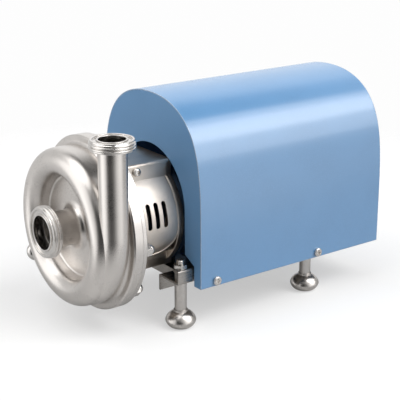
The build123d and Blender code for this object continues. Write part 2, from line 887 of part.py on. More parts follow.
def rear_shield():
    x0, x1 = frame_back_x, frame_back_x + rear_shield_length
    bore_r, hub_r = bearing_outer_r + seat, bearing_outer_r + frame_wall
    lip_r = bearing_bore_r + bearing_ring + clearance
    bearing_end = rear_bearing_x + bearing_width
    return turned(outline(
        (x0 - shield_spigot, frame_bore_r - shield_spigot), (x0 - shield_spigot, frame_bore_r - seat),
        (x0, frame_bore_r - seat), (x0, frame_outer_r),
        (x1 - shield_spigot, frame_outer_r), (x1, frame_bore_r),
        (x1, lip_r), (bearing_end, lip_r), (bearing_end, bore_r), (rear_bearing_x, bore_r),
        (rear_bearing_x, hub_r), (x0 + shield_spigot, hub_r),
        (x0 + shield_spigot, frame_bore_r - 2 * shield_spigot),
    ))


def motor_foot(x):
    """Foot pad on the near side with the web that carries it."""
    x0, x1 = x - foot_pad_length / 2, x + foot_pad_length / 2
    y0, y1 = -foot_hole_y - foot_pad_width / 2, -foot_hole_y + foot_pad_width / 2
    pad = block(x0, x1, y0, -foot_web_y, -centre_height, foot_pad_thickness - centre_height)
    web = block(x0, x1, -foot_web_y - foot_web_width, -foot_web_y, -centre_height, -foot_web_y)
    rib_top = foot_rib_height - centre_height
    rib = block(x0, x0 + foot_web_width / 2, y1 - foot_web_width, -foot_web_y, -centre_height, rib_top)
    solid = pad + web + rib
    return solid - post(-centre_height - over, -foot_web_y, foot_bolt_r + clearance, x, -foot_hole_y)


def motor_frame():
    """Finned housing with its feet and the pad for the terminal box."""
    face = Circle(frame_outer_r)
    fin = Pos(frame_outer_r, 0) * Rectangle(2 * fin_height, fin_thickness)
    for i in range(fin_count):
        face += Rot(0, 0, i * 360 / fin_count) * fin
    solid = bar(face, frame_front_x, frame_back_x)
    solid += on_both_sides([motor_foot(x) for x in FOOT_X])
    pad_x, pad_y = box_length / 2 - box_pad_inset, box_width / 2 - box_pad_inset
    middle = box_x + box_length / 2
    solid += block(middle - pad_x, middle + pad_x, -pad_y, pad_y, 0, box_pad_z)
    return solid - rod(frame_front_x - over, frame_back_x + over, frame_bore_r)


def stator_core():
    return ring(stator_x, stator_x + stator_length, stator_bore_r, frame_bore_r - seat)


def stator_windings():
    """End windings at both ends of the core."""
    outer = frame_bore_r - shield_spigot - over
    front = ring(stator_x - winding_length, stator_x, outer - winding_depth, outer)
    return [front, Pos(stator_length + winding_length, 0, 0) * front]


def rotor_core():
    return ring(stator_x, stator_x + stator_length, rotor_seat_r + seat, stator_bore_r - air_gap)


def motor_shaft():
    """Stepped shaft: pump end, two bearing seats, rotor seat and fan seat."""
    front_shoulder = front_bearing_x + bearing_width
    fan_end = fan_x + fan_width
    return turned(outline(
        (shaft_end_x, 0), (shaft_end_x, motor_shaft_r), (front_bearing_x, motor_shaft_r),
        (front_bearing_x, bearing_bore_r), (front_shoulder, bearing_bore_r), (front_shoulder, rotor_seat_r),
        (rear_bearing_x, rotor_seat_r), (rear_bearing_x, bearing_bore_r),
        (rear_bearing_x + bearing_width, bearing_bore_r), (rear_bearing_x + bearing_width, fan_seat_r),
        (fan_end, fan_seat_r), (fan_end, 0),
    ))


def bearing_outer(x0):
    """Outer bearing ring with its two shields."""
    x1 = x0 + bearing_width
    track_r = bearing_outer_r - bearing_ring
    shield_r = bearing_bore_r + bearing_ring + clearance
    return turned(outline(
        (x0, shield_r), (x0, bearing_outer_r), (x1, bearing_outer_r), (x1, shield_r),
        (x1 - bearing_shield, shield_r), (x1 - bearing_shield, track_r),
        (x0 + bearing_shield, track_r), (x0 + bearing_shield, shield_r),
    ))


def bearing_inner(x0):
    return ring(x0, x0 + bearing_width, bearing_bore_r + seat / 2, bearing_bore_r + bearing_ring)


def cooling_fan():
    solid = ring(fan_x, fan_x + fan_width, fan_seat_r + seat, fan_hub_r)
    solid += ring(fan_x + fan_width - fan_blade_thickness, fan_x + fan_width, fan_hub_r - over, fan_r)
    half = fan_blade_thickness / 2
    blade = block(fan_x, fan_x + fan_width, -half, half, fan_hub_r - over, fan_r - over)
    for item in around(blade, fan_blades):
        solid += item
    return solid


def fan_cowl():
    """Cup over the fan, with radial inlet slots in its end."""
    inner = fin_tip_r + clearance
    outer = inner + cowl_sheet
    x0, x1 = frame_back_x - cowl_overlap, frame_back_x + cowl_length
    solid = turned(outline(
        (x0, inner), (x0, outer), (x1 - cowl_bevel, outer), (x1, outer - cowl_bevel), (x1, 0),
        (x1 - cowl_sheet, 0),
        (x1 - cowl_sheet, inner - cowl_bevel), (x1 - cowl_bevel - cowl_sheet, inner),
    ))
    half = cowl_slot_width / 2
    slot = block(x1 - 2 * cowl_sheet, x1 + over, -half, half, fan_hub_r, fan_r)
    return cut(solid, around(slot, cowl_slots))


def terminal_box():
    """Open-topped box on the motor, with the hole for its cable gland on the far side."""
    x0, x1, y = box_x, box_x + box_length, box_width / 2
    top = box_pad_z + box_height
    solid = block(x0, x1, -y, y, box_pad_z, top)
    solid -= block(x0 + box_wall, x1 - box_wall, box_wall - y, y - box_wall, box_pad_z + box_wall, top + over)
    return solid - cross_rod(y - 2 * box_wall, y + over, gland_r + seat, *gland_place())


def gland_place():
    return box_x + box_length / 2, box_pad_z + box_height / 2


def terminal_lid():
    x0, x1, y = box_x, box_x + box_length, box_width / 2
    top = box_pad_z + box_height
    solid = block(x0, x1, -y, y, top, top + lid_thickness)
    return chamfer(solid.edges().group_by(Axis.Z)[-1], lid_thickness / 3)


def cable_gland():
    """Gland in the terminal box wall, open for a cable."""
    x, z = gland_place()
    y = box_width / 2
    solid = cross_rod(y - box_wall, y + gland_length, gland_r, x, z)
    solid += Pos(x, y, z) * Rot(-90, 0, 0) * extrude(hexagon(gland_flats), gland_hex_length)
    return solid - cross_rod(y - 2 * box_wall, y + gland_length + over, gland_bore_r, x, z)


def motor_shims():
    """Thin plates between the motor feet and the rails."""
    y0 = -foot_hole_y - foot_pad_width / 2
    y1 = -foot_hole_y + foot_pad_width / 2
    shims = []
    for x in FOOT_X:
        plate = block(x - foot_pad_length / 2, x + foot_pad_length / 2, y0, y1, web_top_z, -centre_height)
        hole = post(web_top_z - over, over - centre_height, foot_bolt_r + clearance, x, -foot_hole_y)
        shims.append(plate - hole)
    return on_both_sides(shims)


def motor_foot_bolts():
    """Hexagon bolts through the motor feet, each with the nut under the rail."""
    top = foot_pad_thickness - centre_height
    pieces = []
    for x in FOOT_X:
        place = Pos(x, -foot_hole_y, 0)
        head = Pos(0, 0, top) * extrude(hexagon(foot_bolt_flats), foot_head_height)
        bolt = head + post(web_low_z - foot_head_height - 2 * over, top, foot_bolt_r)
        nut = Pos(0, 0, web_low_z - foot_head_height) * extrude(hexagon(foot_bolt_flats), foot_head_height)
        nut -= post(web_low_z - 2 * foot_head_height, web_low_z + over, foot_bolt_r + running_fit)
        pieces += [place * bolt, place * nut]
    return on_both_sides(pieces)


# Base frame

def rail():
    """Near-side rail of bent sheet: top lip, outer wall, web under the motor and inner edge bent down."""
    out, inn = -rail_outer_y, -rail_inner_y
    bottom = web_top_z - rail_drop
    lip = out + rail_lip
    face = outline(
        (lip, lip_top_z), (out, lip_top_z), (out, web_low_z), (inn - sheet, web_low_z), (inn - sheet, bottom),
        (inn, bottom), (inn, web_top_z), (out + sheet, web_top_z), (out + sheet, lip_top_z - sheet),
        (lip, lip_top_z - sheet),
    )
    face = rounded(face, [(out, lip_top_z), (out, web_low_z), (inn, web_top_z)], bend_r)
    solid = bar(face, rail_front_x, rail_back_x)
    notch = outline((0, 0), (rail_lip_notch, 0), (0, -rail_lip_notch))
    solid -= Pos(rail_front_x, lip, lip_top_z - 2 * sheet) * extrude(notch, 3 * sheet)
    for x in LEG_X.values():
        solid -= post(web_low_z - over, lip_top_z + over, spindle_r + clearance, x, -leg_y)
    for x in FOOT_X:
        solid -= post(web_low_z - over, web_top_z + over, foot_bolt_r + clearance, x, -foot_hole_y)
    return solid


def cross_plate(x0):
    """Plate between the rails, with its two edges bent down."""
    x1 = x0 + cross_plate_length
    solid = block(x0, x1, -rail_inner_y, rail_inner_y, web_top_z - cross_plate_edge, web_top_z)
    low = web_top_z - cross_plate_edge - over
    return solid - block(x0 + sheet, x1 - sheet, -rail_inner_y - over, rail_inner_y + over, low, web_low_z)


def rear_cross_plate_x():
    return rail_back_x - cross_plate_rear_inset - cross_plate_length


def leg_bushes():
    """Threaded bushes welded between web and lip, one for each leg."""
    bushes = []
    for x in LEG_X.values():
        bush = post(web_top_z, lip_top_z - sheet, bush_r, x, -leg_y)
        bushes.append(bush - post(web_top_z - over, lip_top_z, spindle_r + running_fit, x, -leg_y))
    return on_both_sides(bushes)


def lock_nuts():
    nuts = []
    for x in LEG_X.values():
        nut = extrude(hexagon(lock_nut_flats), lock_nut_height)
        nut -= post(-1, lock_nut_height + over, spindle_r + running_fit)
        nuts.append(Pos(x, -leg_y, lip_top_z) * nut)
    return on_both_sides(nuts)


def leg(x):
    """Round leg with the threaded spindle above its shoulder."""
    top = lip_top_z + spindle_rise
    return Pos(x, -leg_y, 0) * spun(outline(
        (0, floor_z + ball_neck_height), (leg_r, floor_z + ball_neck_height), (leg_r, web_low_z),
        (spindle_r, web_low_z), (spindle_r, top - edge_break), (spindle_r - edge_break, top), (0, top),
    ))


def ball_foot(x):
    """Polished foot: flat base, wide rounded belly and a short neck under the leg."""
    belly, top = ball_belly, ball_height
    shoulder = (ball_neck_r + ball_shoulder, top)
    face = section(
        Line((0, 0), (ball_base_r, 0)),
        ThreePointArc((ball_base_r, 0), (ball_r - ball_low_bulge, belly / 2), (ball_r, belly)),
        ThreePointArc((ball_r, belly), (ball_r - ball_high_bulge, belly + (top - belly) / 2), shoulder),
        Polyline(
            shoulder, (ball_neck_r, top + edge_break), (ball_neck_r, ball_neck_height),
            (0, ball_neck_height), (0, 0),
        ),
    )
    return Pos(x, -leg_y, floor_z) * spun(face)


# Cover

def arch(inset, low):
    """Arched outline of the cover, shrunk by an inset, down to the given depth below the shaft line."""
    half, rise = hood_half_width - inset, hood_rise - inset
    side = [(half, -hood_spring)]
    for i in range(1, hood_arch_steps):
        turn = math.pi / 2 * (i / hood_arch_steps) ** 2
        y = half * math.cos(turn) ** (2 / hood_side_power)
        side.append((y, rise * math.sin(turn) ** (2 / hood_crown_power) - hood_spring))
    points = side + [(0, rise - hood_spring)] + [(-y, z) for y, z in reversed(side)]
    crown = Spline(*points, tangents=((0, 1), (0, -1)))
    legs = Polyline((-half, -hood_spring), (-half, -low), (half, -low), (half, -hood_spring))
    return section(crown, legs)


def cover_screw_rods(r, y_end):
    """Near-side screw holes of the cover, from outside the hood to a place along Y."""
    return [cross_rod(-hood_half_width - over, y_end, r, x, -cover_screw_drop) for x in BRACKET_X]


def cover_hood():
    face = arch(0, hood_low) - arch(hood_sheet, hood_low + over)
    solid = bar(face, hood_front_x, hood_back_x)
    holes = cover_screw_rods(cover_screw_r + clearance, 2 * hood_sheet - hood_half_width)
    return cut(solid, on_both_sides(holes))


def end_plate(x0, lip_direction):
    """Plate that closes one end of the hood, with a lip that follows the hood's inside."""
    inset = hood_sheet + seat
    plate = bar(arch(inset, hood_low), x0, x0 + hood_sheet)
    lip_face = arch(inset, hood_low) - arch(inset + hood_sheet, hood_low + over)
    lip_x0 = x0 + hood_sheet if lip_direction > 0 else x0 - plate_lip
    return plate + bar(lip_face, lip_x0, lip_x0 + plate_lip)


def opening_face():
    """Opening of the front plate: arch round the lantern, widened below for the rails."""
    low = -hood_low - 1
    lower = outline(
        (-opening_r, opening_centre_z), (opening_r, opening_centre_z), (opening_r, -opening_narrow_low),
        (opening_wide_y, -opening_wide_top), (opening_wide_y, low), (-opening_wide_y, low),
        (-opening_wide_y, -opening_wide_top), (-opening_r, -opening_narrow_low),
    )
    return lower + Pos(0, opening_centre_z) * Ellipse(opening_r, opening_rise)


def cover_front_plate():
    plate = end_plate(hood_front_x, 1)
    return plate - bar(opening_face(), hood_front_x - over, hood_front_x + 2 * hood_sheet)


def cover_rear_plate():
    """Rear plate with upright air slots."""
    solid = end_plate(hood_back_x - hood_sheet, -1)
    slot = SlotOverall(vent_height, vent_width, rotation=90)
    for i in range(vent_count):
        y = (i - (vent_count - 1) / 2) * vent_pitch
        solid -= bar(Pos(y, 0) * slot, hood_back_x - 2 * hood_sheet, hood_back_x + over)
    return solid


def cover_brackets():
    """Hat brackets from the rails out to the hood, each with a weld nut for a cover screw."""
    inner, outer = -rail_outer_y, hood_sheet + seat - hood_half_width
    top = lip_top_z - bracket_setback
    face = outline(
        (inner, top), (inner, top - bracket_inner_drop), (inner - sheet, top - bracket_inner_drop),
        (inner - sheet, top - sheet), (outer + sheet, top - sheet), (outer + sheet, top - bracket_outer_drop),
        (outer, top - bracket_outer_drop), (outer, top),
    )
    face = rounded(face, [(inner, top), (outer, top)], bend_r)
    brackets = []
    for x in BRACKET_X:
        solid = bar(face, x - bracket_width / 2, x + bracket_width / 2)
        nut = Pos(x, outer + sheet, -cover_screw_drop) * Rot(-90, 0, 0)
        solid += nut * extrude(hexagon(weld_nut_flats), weld_nut_height)
        hole = cross_rod(outer - over, inner - sheet, cover_screw_r + seat, x, -cover_screw_drop)
        brackets.append(solid - hole)
    return on_both_sides(brackets)


def cover_screws():
    """Round-headed screws with a cross recess that hold the hood."""
    screws = []
    base = -hood_half_width - seat
    top = base - cover_head_height
    for x in BRACKET_X:
        head = cross_rod(top, base, cover_head_r, x, -cover_screw_drop)
        head = fillet(head.edges().sort_by(Axis.Y)[0], cover_head_height / 2)
        for width, height in ((cover_head_r, cover_recess_width), (cover_recess_width, cover_head_r)):
            x0, z0 = x - width / 2, -cover_screw_drop - height / 2
            head -= block(x0, x0 + width, top - over, top + cover_head_height / 2, z0, z0 + height)
        shank = cross_rod(base, base + cover_screw_length, cover_screw_r, x, -cover_screw_drop)
        screws.append(head + shank)
    return on_both_sides(screws)


def parts():
    """Every sub-part by its node name."""
    pieces = {
        "volute_casing": volute_casing(),
        "suction_union": suction_union(),
        "discharge_union": discharge_union(),
        "drain_plug": drain_plug(),
        "casing_gasket": casing_gasket(),
        "back_plate": back_plate(),
        "casing_studs": casing_studs(),
        "casing_nuts": casing_nuts(),
        "seal_stationary_ring": seal_stationary_ring(),
        "seal_rotary_ring": seal_rotary_ring(),
        "seal_spring": seal_spring(),
        "impeller": impeller(),
        "impeller_nut": impeller_nut(),
        "pump_shaft": pump_shaft(),
        "shaft_clamp_ring": shaft_clamp_ring(),
        "clamp_screw": clamp_screw(),
        "lantern": lantern(),
        "guard_near": guard(),
        "guard_far": on_side(guard(), "far"),
        "guard_screws": guard_screws(),
        "back_plate_screws": back_plate_screws(),
        "lantern_bolts": lantern_bolts(),
        "motor_front_shield": front_shield(),
        "motor_rear_shield": rear_shield(),
        "motor_frame": motor_frame(),
        "stator_core": stator_core(),
        "stator_windings": stator_windings(),
        "rotor_core": rotor_core(),
        "motor_shaft": motor_shaft(),
        "front_bearing_outer": bearing_outer(front_bearing_x),
        "front_bearing_inner": bearing_inner(front_bearing_x),
        "rear_bearing_outer": bearing_outer(rear_bearing_x),
        "rear_bearing_inner": bearing_inner(rear_bearing_x),
        "cooling_fan": cooling_fan(),
        "fan_cowl": fan_cowl(),
        "terminal_box": terminal_box(),
        "terminal_lid": terminal_lid(),
        "cable_gland": cable_gland(),
        "motor_shims": motor_shims(),
        "motor_foot_bolts": motor_foot_bolts(),
        "rail_near": rail(),
        "rail_far": on_side(rail(), "far"),
        "cross_plate_front": cross_plate(cross_plate_front_x),
        "cross_plate_rear": cross_plate(rear_cross_plate_x()),
        "leg_bushes": leg_bushes(),
        "lock_nuts": lock_nuts(),
        "cover_hood": cover_hood(),
        "cover_front_plate": cover_front_plate(),
        "cover_rear_plate": cover_rear_plate(),
        "cover_brackets": cover_brackets(),
        "cover_screws": cover_screws(),
    }
    for end, x in LEG_X.items():
        for side in SIDES:
            pieces[f"leg_{end}_{side}"] = on_side(leg(x), side)
            pieces[f"ball_foot_{end}_{side}"] = on_side(ball_foot(x), side)
    return pieces


def save(node, shape):
    """Writes one sub-part, as one solid or as a group of separate ones."""
    if isinstance(shape, list):
        shape = Compound(children=[solid for item in shape for solid in item.solids()])
    export_step(shape, f"parts/{node}.step")


os.makedirs("parts", exist_ok=True)
for node, shape in parts().items():
    save(node, shape)
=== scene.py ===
"""Looks of a sanitary centrifugal pump: its finishes, fine pieces, floor, lamps and camera.

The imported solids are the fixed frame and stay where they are. Each sub-assembly is a class that
dresses its solids, and that builds the pieces whose form is finer than the solids hold.
All lengths are in metres: +X runs from the suction mouth to the motor, +Z is up, and the near
side is -Y.
"""

import sys
import logging
import math
from abc import ABC, abstractmethod
from dataclasses import dataclass, field
from enum import Enum
from typing import Callable, Iterable

import bmesh
import bpy
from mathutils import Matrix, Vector


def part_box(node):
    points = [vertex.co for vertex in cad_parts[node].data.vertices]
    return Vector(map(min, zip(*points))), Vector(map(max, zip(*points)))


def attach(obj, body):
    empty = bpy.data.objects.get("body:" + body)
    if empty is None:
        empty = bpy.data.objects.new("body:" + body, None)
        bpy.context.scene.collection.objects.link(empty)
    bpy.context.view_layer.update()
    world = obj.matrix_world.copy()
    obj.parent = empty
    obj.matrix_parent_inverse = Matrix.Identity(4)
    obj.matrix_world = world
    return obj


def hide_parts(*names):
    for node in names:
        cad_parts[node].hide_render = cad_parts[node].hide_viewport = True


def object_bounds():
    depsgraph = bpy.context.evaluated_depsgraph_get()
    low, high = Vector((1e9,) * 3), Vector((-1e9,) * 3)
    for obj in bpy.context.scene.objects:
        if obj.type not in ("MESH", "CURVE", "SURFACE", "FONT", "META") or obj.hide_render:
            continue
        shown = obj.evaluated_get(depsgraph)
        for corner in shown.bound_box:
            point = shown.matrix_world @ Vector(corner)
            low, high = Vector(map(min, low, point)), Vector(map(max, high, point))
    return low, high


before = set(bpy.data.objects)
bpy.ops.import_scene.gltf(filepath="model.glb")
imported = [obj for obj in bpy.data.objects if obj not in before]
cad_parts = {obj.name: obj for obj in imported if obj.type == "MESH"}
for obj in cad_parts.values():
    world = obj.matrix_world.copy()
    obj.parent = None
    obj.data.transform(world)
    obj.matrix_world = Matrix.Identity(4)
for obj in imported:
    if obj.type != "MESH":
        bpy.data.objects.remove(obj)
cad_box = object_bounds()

Colour = tuple[float, float, float]
Point = tuple[float, float, float]
Pair = tuple[float, float]
Line = list[Pair]
Placing = Callable[[float, float, float], Point]
Socket = bpy.types.NodeSocket

# The shaft line's direction, and what is left of a place across it
ALONG_SHAFT = (1.0, 0.0, 0.0)
ACROSS_SHAFT = (0.0, 1.0, 1.0)

# Values of soft noise between which a finish goes from its least to its most
NOISE_RANGE = (0.3, 0.7)
CLOUD_RANGE = (0.35, 0.65)
GLINT_RANGE = (0.42, 0.72)

# Rays that find how an edge is rounded
EDGE_SAMPLES = 6

# Cosines between the flat and the rounded normal at an edge of the paint, from its start to its middle,
# and the pale tone of the highlight that is painted along such edges
EDGE_HIGHLIGHT_RANGE = (0.995, 0.9)
EDGE_HIGHLIGHT_TONE = (0.72, 0.84, 0.97)

# How strongly drawn marks are stretched, and how fast turned rings change round the shaft
DRAWN_SQUEEZE = (0.025, 1.0, 1.0)
TURNED_CHANGE = 2.5

# The length of one band of the wave texture at a scale of 1
WAVE_LENGTH = 0.314

log = logging.getLogger("pump")


class Grain(Enum):
    """How a surface was worked, which sets the marks on it."""

    TURNED = "rings round the shaft line"
    DRAWN = "straight marks along the shaft line"
    CAST = "fine even pits"


class Board:
    """Short calls for building one tree of shader nodes."""

    def __init__(self, tree: bpy.types.NodeTree) -> None:
        """Empties a tree and keeps it.

        Args:
            tree: The node tree of a material or a world.
        """
        tree.nodes.clear()
        self.tree = tree

    def add(self, kind: str, inputs: dict[str | int, object] | None = None,
            **settings: object) -> bpy.types.Node:
        """Adds a node.

        Args:
            kind: The node's type name.
            inputs: A value or a socket for each input that is set.
            settings: The node's own properties.

        Returns:
            The new node.
        """
        node = self.tree.nodes.new(kind)
        for name, value in settings.items():
            setattr(node, name, value)
        for key, value in (inputs or {}).items():
            if isinstance(value, bpy.types.NodeSocket):
                self.tree.links.new(value, node.inputs[key])
            else:
                node.inputs[key].default_value = value
        return node

    def place(self) -> Socket:
        """The surface point in the piece's own frame."""
        return self.add("ShaderNodeTexCoord").outputs["Object"]

    def rays(self) -> bpy.types.bpy_prop_collection:
        """What kind of ray sees the surface."""
        return self.add("ShaderNodeLightPath").outputs

    def mirrored(self, rays: bpy.types.bpy_prop_collection) -> Socket:
        """1 for rays that a mirror or glass sends out, and 0 for others."""
        return self.maths("MAXIMUM", rays["Is Glossy Ray"], rays["Is Transmission Ray"])

    def maths(self, operation: str, *values: object) -> Socket:
        """The result of a number operation."""
        return self.add("ShaderNodeMath", dict(enumerate(values)), operation=operation).outputs[0]

    def vector(self, operation: str, *values: object) -> Socket:
        """The vector result of a vector operation."""
        inputs = dict(enumerate(values))
        return self.add("ShaderNodeVectorMath", inputs, operation=operation).outputs["Vector"]

    def measure(self, operation: str, *values: object) -> Socket:
        """The number result of a vector operation."""
        inputs = dict(enumerate(values))
        return self.add("ShaderNodeVectorMath", inputs, operation=operation).outputs["Value"]

    def stretched(self, vector: Socket, amount: object) -> Socket:
        """A vector times a number."""
        inputs = {0: vector, "Scale": amount}
        return self.add("ShaderNodeVectorMath", inputs, operation="SCALE").outputs["Vector"]

    def noise(self, vector: Socket, scale: float, detail: float = 3.0, rough: float = 0.5) -> Socket:
        """Soft noise from 0 to 1 at a scale in marks a metre."""
        inputs = {"Vector": vector, "Scale": scale, "Detail": detail, "Roughness": rough}
        return self.add("ShaderNodeTexNoise", inputs).outputs[0]

    def span(self, value: object, limits: Pair, first: float, last: float) -> Socket:
        """A number that goes smoothly from the first to the last as a value goes between its limits."""
        inputs = {0: value, 1: limits[0], 2: limits[1], 3: first, 4: last}
        return self.add("ShaderNodeMapRange", inputs, interpolation_type="SMOOTHSTEP").outputs[0]

    def between(self, share: object, first: object, second: object) -> Socket:
        """A number between two numbers."""
        inputs = {0: share, 2: first, 3: second}
        return self.add("ShaderNodeMix", inputs, data_type="FLOAT").outputs[0]

    def mix(self, share: object, first: object, second: object) -> Socket:
        """A colour between two colours."""
        inputs = {0: share, 6: opaque(first), 7: opaque(second)}
        return self.add("ShaderNodeMix", inputs, data_type="RGBA").outputs[2]

    def clouded(self, share: object, colour: Colour, swing: float) -> Socket:
        """A colour that goes from a little darker to a little lighter than it is."""
        return self.mix(share, toned(colour, 1.0 - swing), toned(colour, 1.0 + swing))

    def bump(self, height: Socket, depth: float, normal: Socket | None = None) -> Socket:
        """A normal that leans with a height map.

        Args:
            height: The map, from 0 to 1.
            depth: The height of a 1 in the map, in metres.
            normal: The normal under the map, if it isn't the surface's own.

        Returns:
            The new normal.
        """
        inputs = {"Height": height, "Distance": depth, "Strength": 1.0}
        if normal is not None:
            inputs["Normal"] = normal
        return self.add("ShaderNodeBump", inputs).outputs["Normal"]

    def worn_edge(self, radius: float) -> Socket:
        """The surface normal with its sharp edges rounded."""
        return self.add("ShaderNodeBevel", {"Radius": radius}, samples=EDGE_SAMPLES).outputs["Normal"]


def opaque(colour: object) -> object:
    """A colour with its alpha, or a socket as it is."""
    return colour if isinstance(colour, bpy.types.NodeSocket) else (*colour[:3], 1.0)


def toned(colour: Colour, factor: float) -> Colour:
    """A colour made darker or lighter."""
    return tuple(min(1.0, part * factor) for part in colour)


@dataclass(frozen=True)
class Finish(ABC):
    """The look of one kind of surface."""

    name: str
    colour: Colour
    roughness: float

    @abstractmethod
    def shade(self, board: Board) -> dict[str, object]:
        """Builds the nodes of the finish.

        Args:
            board: The material's nodes.

        Returns:
            A value or a socket for each input of the surface shader that is set.
        """

    def material(self) -> bpy.types.Material:
        """The finish as a material, made once.

        Returns:
            The material, with one surface shader.
        """
        known = bpy.data.materials.get(self.name)
        if known is not None:
            return known
        made = bpy.data.materials.new(self.name)
        made.use_nodes = True
        board = Board(made.node_tree)
        surface = board.add("ShaderNodeBsdfPrincipled", self.shade(board))
        board.add("ShaderNodeOutputMaterial", {"Surface": surface.outputs[0]})
        made.diffuse_color = opaque(self.colour)
        return made


@dataclass(frozen=True)
class Steel(Finish):
    """Bare metal with the marks of how it was worked.

    Attributes:
        grain: How it was worked.
        pitch: The size of its marks.
        depth: Their height.
        swing: How far the roughness changes from mark to mark.
        cloud_size: The size of the slow clouds in its tone and gloss.
        cloud_tone: How far the clouds darken and lighten it.
        edge: The radius that its sharp edges show.
    """

    grain: Grain = Grain.CAST
    pitch: float = 0.0008
    depth: float = 4e-6
    swing: float = 0.05
    cloud_size: float = 0.035
    cloud_tone: float = 0.06
    edge: float = 0.0006

    def marks(self, board: Board) -> Socket:
        """The height map of the working marks.

        Args:
            board: The material's nodes.

        Returns:
            A number from 0 to 1.
        """
        place, scale = board.place(), 1.0 / self.pitch
        if self.grain is Grain.CAST:
            return board.noise(place, scale, rough=0.6)
        if self.grain is Grain.DRAWN:
            return board.noise(board.vector("MULTIPLY", place, DRAWN_SQUEEZE), scale, rough=0.6)
        across = board.vector("MULTIPLY", place, ACROSS_SHAFT)
        along = board.measure("DOT_PRODUCT", place, ALONG_SHAFT)
        out = board.maths("ADD", board.measure("LENGTH", across), along)
        rings = board.add("ShaderNodeCombineXYZ", {"X": board.maths("MULTIPLY", out, scale)}).outputs[0]
        turn = board.stretched(board.vector("NORMALIZE", across), TURNED_CHANGE)
        return board.noise(board.vector("ADD", rings, turn), 1.0, detail=2.0, rough=0.6)

    def shade(self, board: Board) -> dict[str, object]:
        """Metal whose tone, gloss and normal change with the marks and with slow clouds.

        Args:
            board: The material's nodes.

        Returns:
            A value or a socket for each input of the surface shader that is set.
        """
        marks = self.marks(board)
        cloud = board.noise(board.place(), 1.0 / self.cloud_size, rough=0.55)
        shiny, dull = self.roughness - self.swing / 2, self.roughness + self.swing / 2
        fine = board.span(marks, NOISE_RANGE, -self.swing, self.swing)
        slow = board.span(cloud, NOISE_RANGE, shiny, dull)
        share = board.span(cloud, CLOUD_RANGE, 0.0, 1.0)
        return {
            "Base Color": board.clouded(share, self.colour, self.cloud_tone),
            "Metallic": 1.0,
            "Roughness": board.maths("ADD", fine, slow),
            "Normal": board.bump(marks, self.depth, board.worn_edge(self.edge)),
        }


@dataclass(frozen=True)
class PowderCoat(Finish):
    """Baked powder on sheet metal: fine orange peel, with a painted glint that lightens its tops.

    Attributes:
        peel: The size of the orange peel.
        depth: Its height.
        painted_glint: How much lighter the peel's tops are painted, a painted glint.
        swing: How far the roughness changes over it.
        clouds: The number of slow clouds in a metre.
        cloud_tone: How far the clouds darken and lighten it.
        gloss: The shader's specular level.
        index: The refractive index.
        edge: The radius that its sharp edges show.
        rim: How far those edges turn to the pale tone of the painted highlight.
    """

    peel: float = 0.0014
    depth: float = 6e-6
    painted_glint: float = 0.06
    swing: float = 0.05
    clouds: float = 14.0
    cloud_tone: float = 0.03
    gloss: float = 0.5
    index: float = 1.45
    edge: float = 0.0011
    rim: float = 0.0

    def shade(self, board: Board) -> dict[str, object]:
        """Satin paint whose skin and gloss vary finely and whose tone varies slowly.

        Args:
            board: The material's nodes.

        Returns:
            A value or a socket for each input of the surface shader that is set.
        """
        peel = board.noise(board.place(), 1.0 / self.peel, rough=0.6)
        cloud = board.span(board.noise(board.place(), self.clouds), NOISE_RANGE, 0.0, 1.0)
        slow = board.clouded(cloud, self.colour, self.cloud_tone)
        # Painted glint: the peel's tops are made lighter in colour
        glint_share = board.span(peel, GLINT_RANGE, 0.0, 1.0)
        tone = board.mix(glint_share, slow, toned(self.colour, 1.0 + self.painted_glint))
        rounded = board.worn_edge(self.edge)
        # Painted highlight: along sharp edges the colour turns pale, where light would catch them
        if self.rim:
            flat = board.add("ShaderNodeNewGeometry").outputs["Normal"]
            highlight_share = board.span(board.measure("DOT_PRODUCT", rounded, flat), EDGE_HIGHLIGHT_RANGE, 0.0, self.rim)
            tone = board.mix(highlight_share, tone, EDGE_HIGHLIGHT_TONE)
        dull, shiny = self.roughness + self.swing, self.roughness - self.swing
        return {
            "Base Color": tone,
            "Roughness": board.span(peel, NOISE_RANGE, dull, shiny),
            "Specular IOR Level": self.gloss,
            "IOR": self.index,
            "Normal": board.bump(peel, self.depth, rounded),
        }


@dataclass(frozen=True)
class Moulded(Finish):
    """Moulded or pressed matter with a fine skin: plastic, rubber, carbon or fired clay.

    Attributes:
        skin: The size of the skin's texture.
        depth: Its height.
        swing: How far the roughness changes over it.
        clouds: The number of slow clouds in a metre.
        cloud_tone: How far the clouds darken and lighten it.
        edge: The radius that its sharp edges show.
    """

    skin: float = 0.0007
    depth: float = 2e-5
    swing: float = 0.05
    clouds: float = 40.0
    cloud_tone: float = 0.12
    edge: float = 0.0004

    def shade(self, board: Board) -> dict[str, object]:
        """A dull skin with fine texture and slow changes of tone.

        Args:
            board: The material's nodes.

        Returns:
            A value or a socket for each input of the surface shader that is set.
        """
        skin = board.noise(board.place(), 1.0 / self.skin, detail=2.0)
        cloud = board.noise(board.place(), self.clouds)
        shiny, dull = self.roughness - self.swing, self.roughness + self.swing
        return {
            "Base Color": board.clouded(cloud, self.colour, self.cloud_tone),
            "Roughness": board.span(skin, NOISE_RANGE, shiny, dull),
            "Normal": board.bump(skin, self.depth, board.worn_edge(self.edge)),
        }


